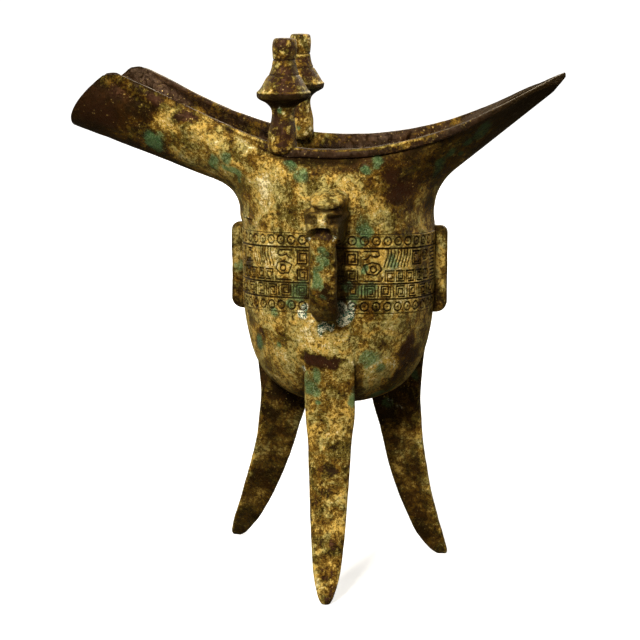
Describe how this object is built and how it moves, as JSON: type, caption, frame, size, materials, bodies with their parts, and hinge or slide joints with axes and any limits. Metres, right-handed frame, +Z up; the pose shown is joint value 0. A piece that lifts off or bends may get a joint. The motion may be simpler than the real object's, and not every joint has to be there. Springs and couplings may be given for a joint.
{
  "type": "jue wine vessel",
  "caption": "Archaic bronze tripod wine vessel: egg-shaped cup with gutter spout, pointed tail, capped posts, beast-head strap handle and a relief band.",
  "frame": {"origin": "bottom centre of the bounding box, on the plane the feet stand on", "axes": "+Z up; +X towards the tip of the tail, -X towards the open end of the spout; -Y towards the handle"},
  "size_m": [0.174, 0.0888, 0.1931],
  "materials": {
    "bronze": "patinated, brown and olive-gold crust with green patches"
  },
  "bodies": {
    "root": {"jue_vessel": "bronze"}
  },
  "joints": []
}
